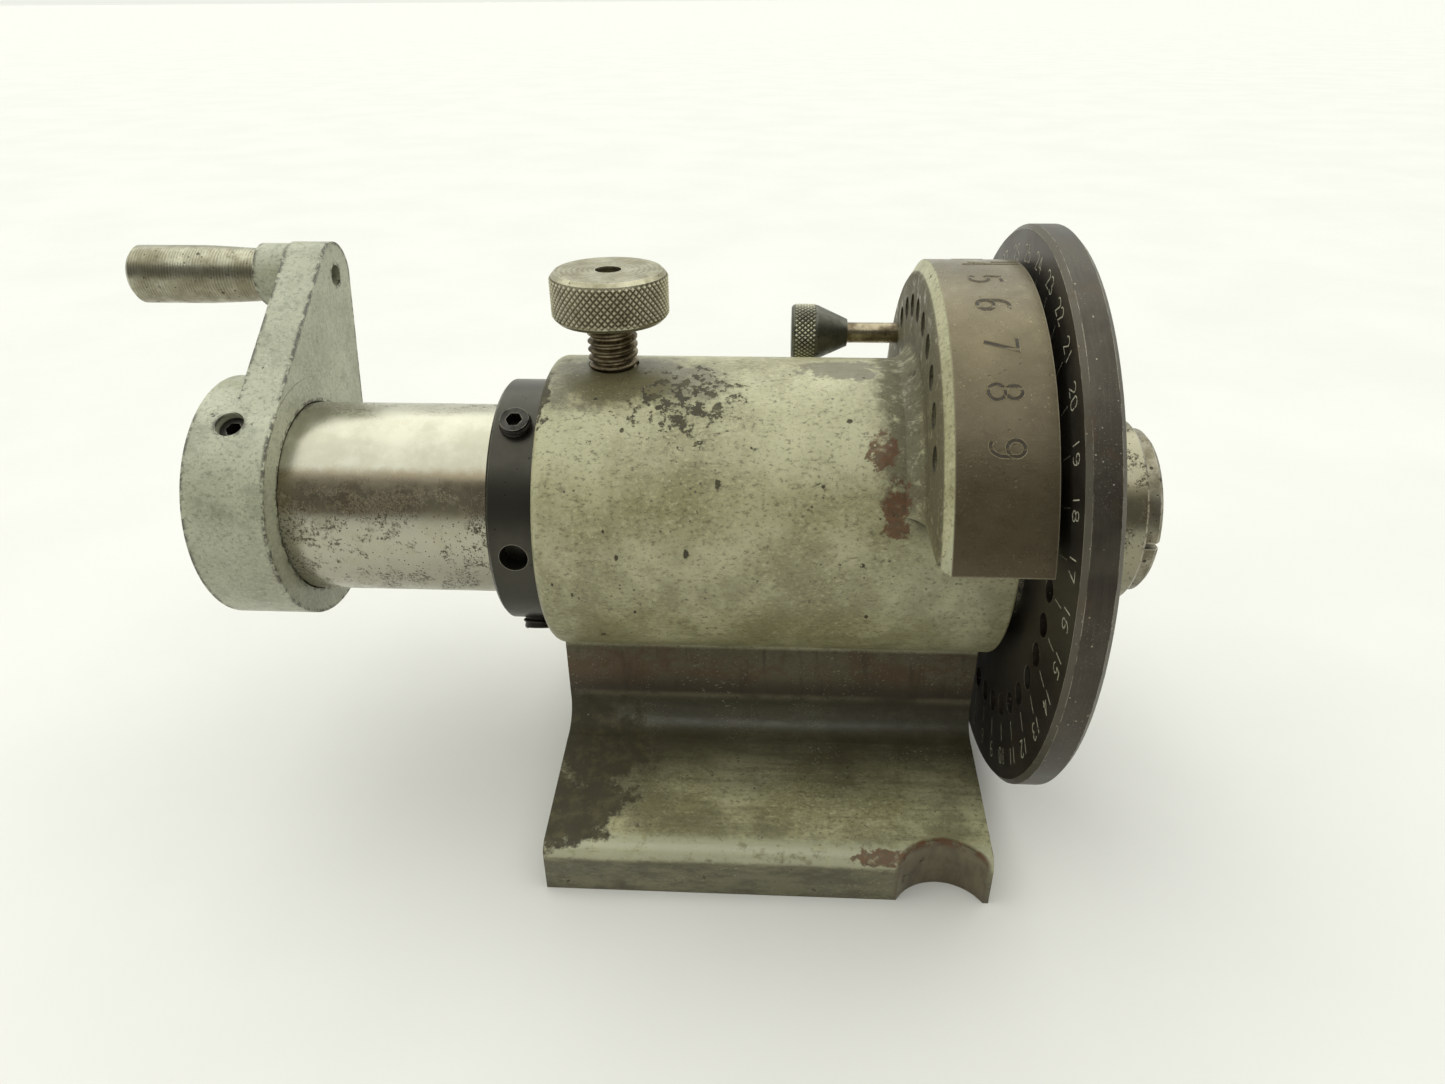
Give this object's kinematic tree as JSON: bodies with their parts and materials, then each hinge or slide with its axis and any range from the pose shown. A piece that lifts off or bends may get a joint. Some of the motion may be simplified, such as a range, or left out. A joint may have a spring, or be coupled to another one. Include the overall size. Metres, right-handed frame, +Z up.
{
  "type": "indexing fixture",
  "caption": "Horizontal-spindle indexing fixture: cast base with bearing barrel and drilled segment, index plate, collet nose, spindle lock, index pin and hand crank.",
  "frame": {"origin": "on the underside of the base, below the spindle axis and halfway along the base", "axes": "+X along the spindle toward the nose, +Z up, +Y to the back, where the index pin stands"},
  "size_m": [0.2436, 0.127, 0.1335],
  "materials": {
    "casting_paint": "worn grey-green enamel",
    "spindle_steel": "ground, lightly pitted",
    "plate_black": "black oxide",
    "screw_black": "black oxide",
    "dowel_steel": "ground",
    "bronze": "machined",
    "collar_black": "black oxide, satin",
    "collet_steel": "ground, lightly pitted",
    "tube_steel": "turned",
    "crank_paint": "worn pale grey-green enamel",
    "grip_steel": "turned, tool marks",
    "knob_steel": "diamond knurl",
    "stud_steel": "threaded, browned",
    "pin_knob_black": "black oxide, knurled",
    "pin_steel": "browned"
  },
  "bodies": {
    "base": {"body_casting": "casting_paint"},
    "spindle_body": {"spindle": "spindle_steel", "index_plate": "plate_black", "plate_screws": "screw_black", "plate_dowels": "dowel_steel", "thrust_washer": "bronze", "end_play_collar": "collar_black", "collar_set_screws": "screw_black", "collet_key": "dowel_steel"},
    "collet_body": {"collet": "collet_steel"},
    "crank": {"draw_tube": "tube_steel", "draw_washer": "bronze", "crank_arm": "crank_paint", "crank_set_screw": "screw_black", "handle_screw": "screw_black"},
    "grip": {"handle_grip": "grip_steel"},
    "lock_pad_body": {"lock_pad": "bronze"},
    "lock": {"lock_knob": "knob_steel", "lock_screw": "stud_steel"},
    "index_pin": {"index_pin_knob": "pin_knob_black", "index_pin_rod": "pin_steel"}
  },
  "joints": [
    {"name": "spindle_spin", "type": "hinge", "parent": "base", "child": "spindle_body", "pos_m": [0, 0, 0.07], "axis": [1, 0, 0], "continuous": true},
    {"name": "collet_draw", "type": "slide", "parent": "spindle_body", "child": "collet_body", "axis": [1, 0, 0], "range_m": [0, 0.0021]},
    {"name": "crank_turn", "type": "hinge", "parent": "spindle_body", "child": "crank", "pos_m": [-0.118, 0, 0.07], "axis": [1, 0, 0], "range_deg": [-585, 0]},
    {"name": "grip_spin", "type": "hinge", "parent": "crank", "child": "grip", "pos_m": [-0.143, 0.03076, 0.1156], "axis": [1, 0, 0], "continuous": true},
    {"name": "lock_lift", "type": "slide", "parent": "base", "child": "lock_pad_body", "axis": [0, 0, 1], "range_m": [0, 0.00362]},
    {"name": "lock_turn", "type": "hinge", "parent": "lock_pad_body", "child": "lock", "pos_m": [-0.036, 0, 0.12], "axis": [0, 0, 1], "range_deg": [0, 720]},
    {"name": "index_pin_slide", "type": "slide", "parent": "base", "child": "index_pin", "axis": [1, 0, 0], "range_m": [-0.01, 0.0124]}
  ],
  "couplings": [
    {"joint": "collet_draw", "follows": "crank_turn", "m_per_rad": -0.00020213},
    {"joint": "lock_turn", "follows": "lock_lift", "rad_per_m": 3463.7}
  ]
}
